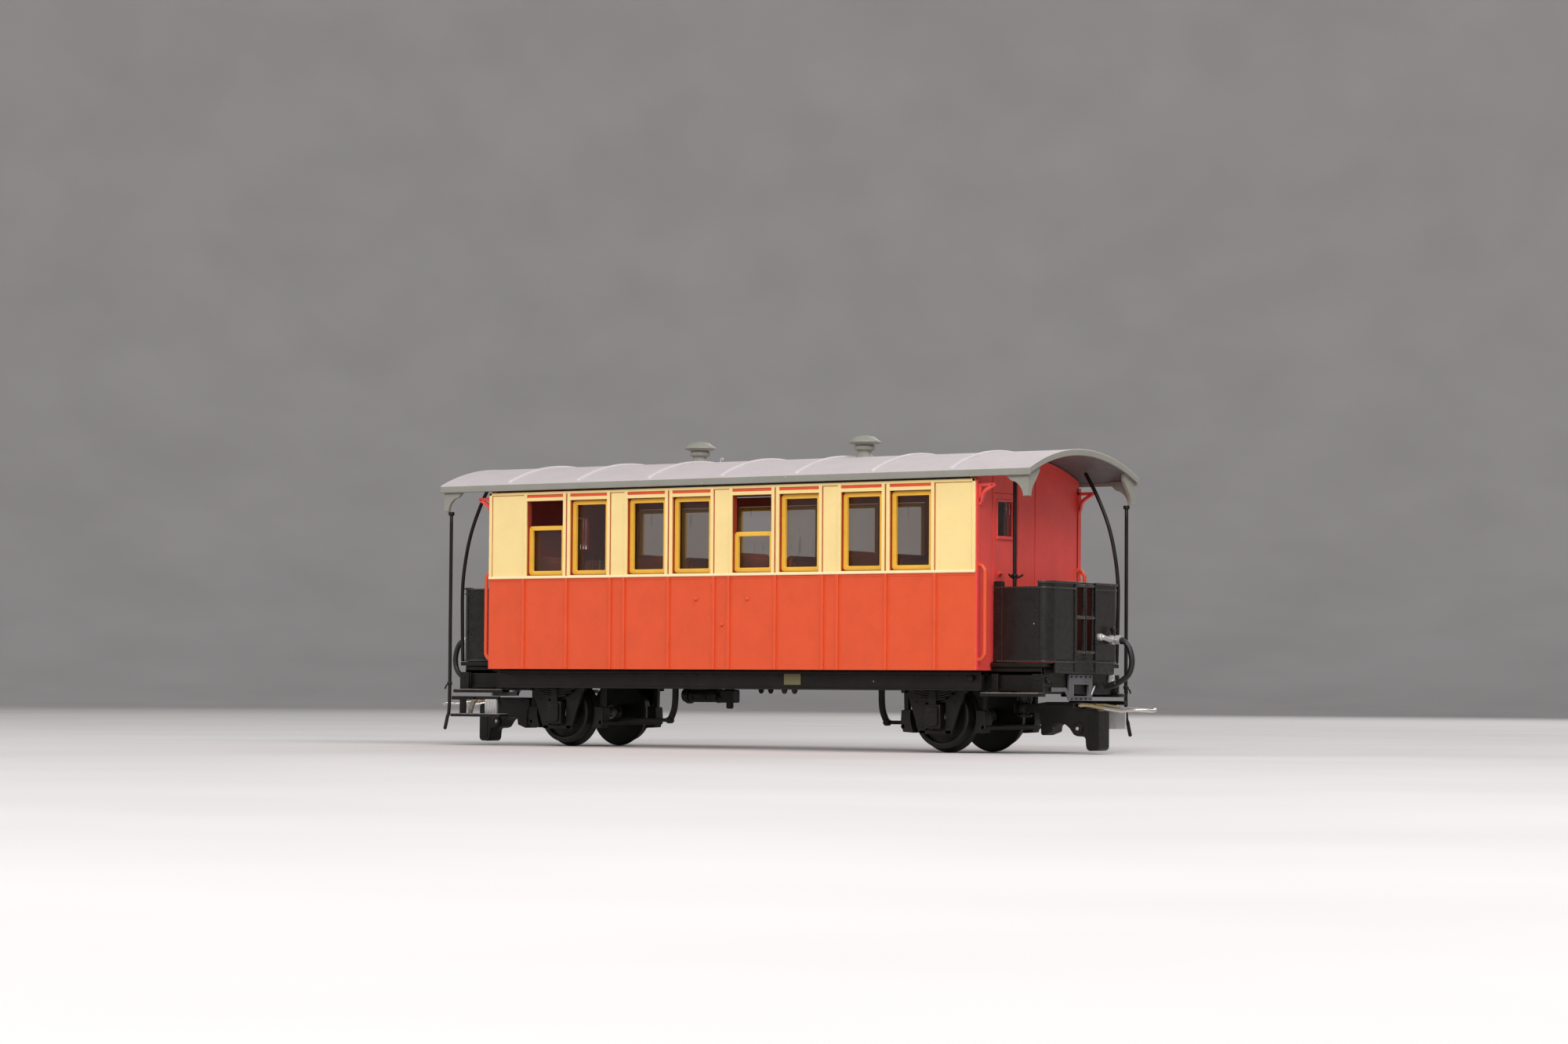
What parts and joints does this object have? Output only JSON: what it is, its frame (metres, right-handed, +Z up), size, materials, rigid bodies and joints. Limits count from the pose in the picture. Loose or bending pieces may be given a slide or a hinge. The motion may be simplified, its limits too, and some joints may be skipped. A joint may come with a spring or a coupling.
{
  "type": "model passenger coach",
  "caption": "Two-axle narrow-gauge passenger coach model with open railed end platforms, arched roof, rolling wheelsets and swinging couplers with lifting hoops.",
  "frame": {"origin": "under the middle of the coach, on the plane that the wheels stand on", "axes": "+X along the coach towards its right end, +Y across to its far side, +Z up"},
  "size_m": [0.1148, 0.028, 0.0417],
  "materials": {
    "body_plastic": "satin, cream band printed over red",
    "roof_plastic": "matt light grey",
    "frame_plastic": "satin black",
    "sash_plastic": "satin ochre",
    "seat_plastic": "matt brown",
    "glazing": "clear polished",
    "steel": "plain",
    "zinc": "grey paint, rubbed",
    "brass": "nickel worn to brass",
    "rubber": "matt"
  },
  "bodies": {
    "coach": {"air_cock_left": "zinc", "air_cock_right": "zinc", "ballast_plate": "steel", "body_shell": "body_plastic", "brake_column_left": "frame_plastic", "brake_column_right": "frame_plastic", "brake_cylinder": "frame_plastic", "brake_hose_left": "rubber", "brake_hose_right": "rubber", "brake_rigging_left": "frame_plastic", "brake_rigging_right": "frame_plastic", "corner_pole_left": "frame_plastic", "corner_pole_right": "frame_plastic", "coupler_pin_left": "steel", "coupler_pin_right": "steel", "coupling_plate_left": "zinc", "coupling_plate_right": "zinc", "distributor_valve": "frame_plastic", "door_pane_left": "glazing", "door_pane_right": "glazing", "end_railing_left": "frame_plastic", "end_railing_right": "frame_plastic", "gangway_gate_left": "frame_plastic", "gangway_gate_right": "frame_plastic", "grab_rail_far_left": "body_plastic", "grab_rail_far_right": "body_plastic", "grab_rail_near_left": "body_plastic", "grab_rail_near_right": "body_plastic", "interior": "seat_plastic", "lower_step_left": "frame_plastic", "lower_step_right": "frame_plastic", "panes_far": "glazing", "panes_near": "glazing", "roof": "roof_plastic", "roof_stay_left": "frame_plastic", "roof_stay_right": "frame_plastic", "roof_vent_left": "roof_plastic", "roof_vent_right": "roof_plastic", "sashes_far": "sash_plastic", "sashes_near": "sash_plastic", "side_panel_high_left": "frame_plastic", "side_panel_high_right": "frame_plastic", "side_panel_low_left": "frame_plastic", "side_panel_low_right": "frame_plastic", "underframe": "frame_plastic", "upper_step_far_left": "frame_plastic", "upper_step_far_right": "frame_plastic", "upper_step_near_left": "frame_plastic", "upper_step_near_right": "frame_plastic"},
    "wheelset_left": {"axle_left": "steel", "wheel_far_left": "frame_plastic", "wheel_near_left": "frame_plastic"},
    "wheelset_right": {"axle_right": "steel", "wheel_far_right": "frame_plastic", "wheel_near_right": "frame_plastic"},
    "coupler_left": {"coupler_body_left": "frame_plastic"},
    "coupler_right": {"coupler_body_right": "frame_plastic"},
    "hoop_left": {"coupler_hoop_left": "brass"},
    "hoop_right": {"coupler_hoop_right": "brass"}
  },
  "joints": [
    {"name": "wheelset_left_spin", "type": "hinge", "parent": "coach", "child": "wheelset_left", "pos_m": [-0.0305, 0, 0.00465], "axis": [0, 1, 0], "continuous": true},
    {"name": "wheelset_right_spin", "type": "hinge", "parent": "coach", "child": "wheelset_right", "pos_m": [0.0305, 0, 0.00465], "axis": [0, 1, 0], "continuous": true},
    {"name": "coupler_left_swing", "type": "hinge", "parent": "coach", "child": "coupler_left", "pos_m": [-0.0385, 0, 0.0058], "axis": [0, 0, 1], "range_deg": [-12, 12]},
    {"name": "coupler_right_swing", "type": "hinge", "parent": "coach", "child": "coupler_right", "pos_m": [0.0385, 0, 0.0058], "axis": [0, 0, 1], "range_deg": [-12, 12]},
    {"name": "hoop_left_lift", "type": "hinge", "parent": "coupler_left", "child": "hoop_left", "pos_m": [-0.0476, 0, 0.00615], "axis": [0, 1, 0], "range_deg": [0, 35]},
    {"name": "hoop_right_lift", "type": "hinge", "parent": "coupler_right", "child": "hoop_right", "pos_m": [0.0476, 0, 0.00615], "axis": [0, -1, 0], "range_deg": [0, 35]}
  ]
}
